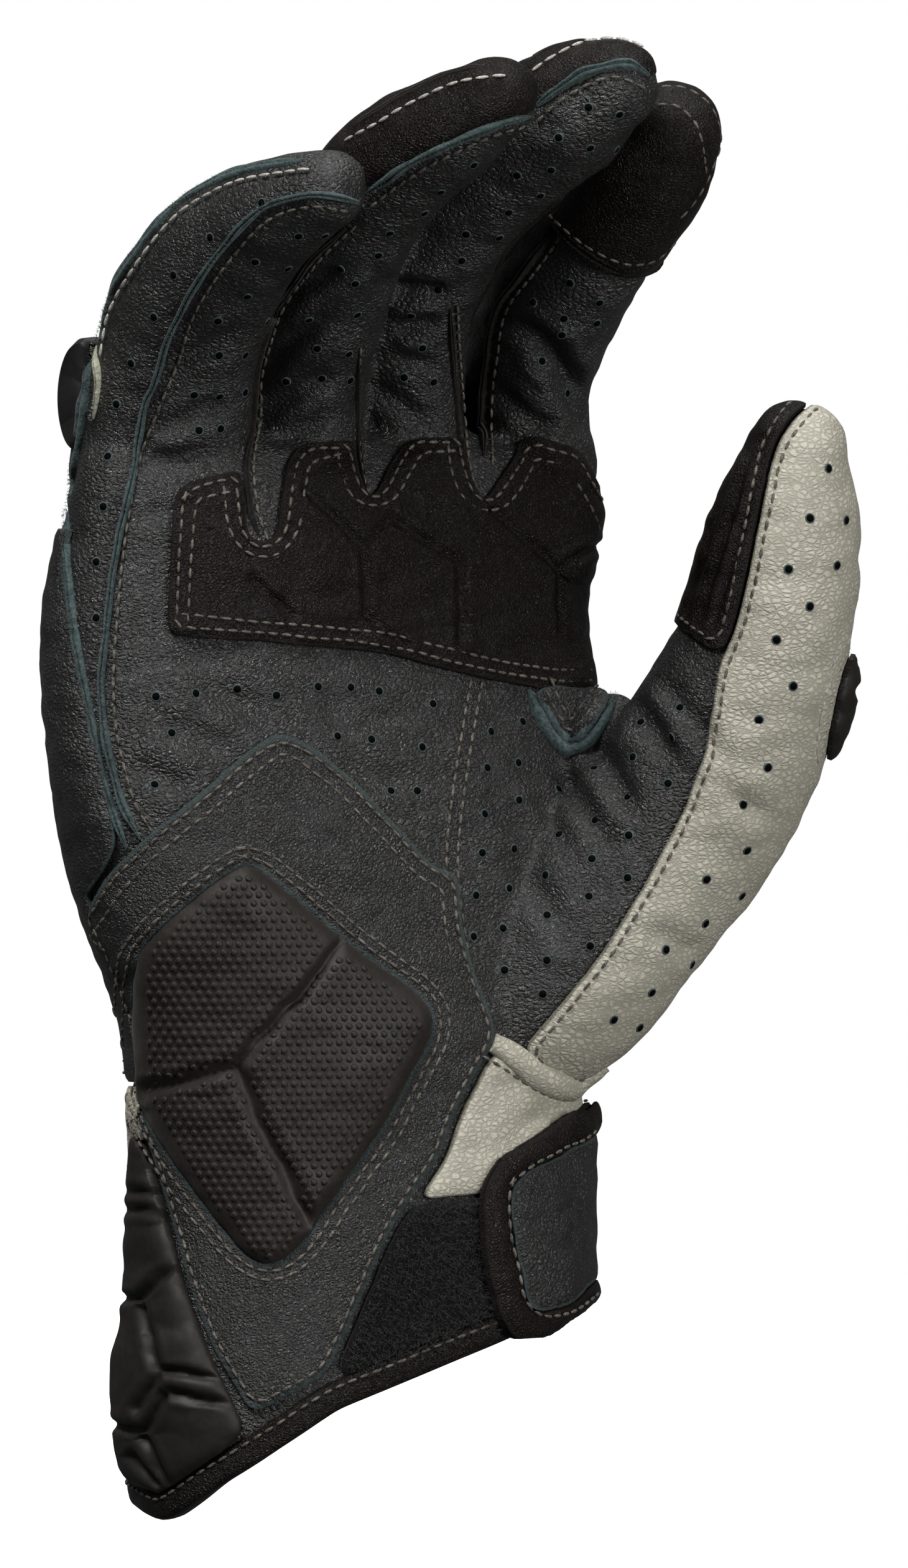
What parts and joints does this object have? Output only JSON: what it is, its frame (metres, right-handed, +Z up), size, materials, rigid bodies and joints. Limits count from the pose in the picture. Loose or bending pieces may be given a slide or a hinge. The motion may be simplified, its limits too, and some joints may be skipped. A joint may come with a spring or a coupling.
{
  "type": "motorcycle glove",
  "caption": "Short-cuff leather motorcycle glove for the right hand, curled as worn, with padded palm heel, rubber gauntlet panel and wrist strap.",
  "frame": {"origin": "centre of the wrist opening, where the hand goes in", "axes": "+Z up along the hand towards the fingers, -Y out of the palm side as pictured, +X towards the thumb"},
  "size_m": [0.1445, 0.1005, 0.2554],
  "materials": {
    "charcoal_leather": "matte grained goatskin with raw teal-grey cut edges",
    "greige_leather": "soft satin grained leather, perforated",
    "black_leather": "semi-gloss grained leather",
    "black_rubber": "matte moulded rubber",
    "pad_rubber": "matte dotted grip print on a soft pad",
    "loop_fabric": "napped loop fabric",
    "guard_shell": "moulded satin plastic"
  },
  "bodies": {
    "root": {"hand_shell": "charcoal_leather", "little_finger": "charcoal_leather", "ring_finger": "charcoal_leather", "middle_finger": "charcoal_leather", "index_finger": "charcoal_leather", "thumb_shell": "charcoal_leather", "thumb_outer_panel": "greige_leather", "thumb_tip_patch": "black_leather", "thumb_guard": "black_rubber", "index_tip_cap": "black_leather", "palm_patch": "black_leather", "crotch_tab": "charcoal_leather", "heel_overlay": "charcoal_leather", "gripper_pad": "pad_rubber", "cuff_panel": "greige_leather", "loop_panel": "loop_fabric", "wrist_strap": "black_leather", "strap_edging": "black_leather", "strap_inset": "charcoal_leather", "hem_binding": "black_leather", "gauntlet_panel": "black_rubber", "back_panel": "charcoal_leather", "knuckle_guard": "guard_shell"}
  },
  "joints": []
}
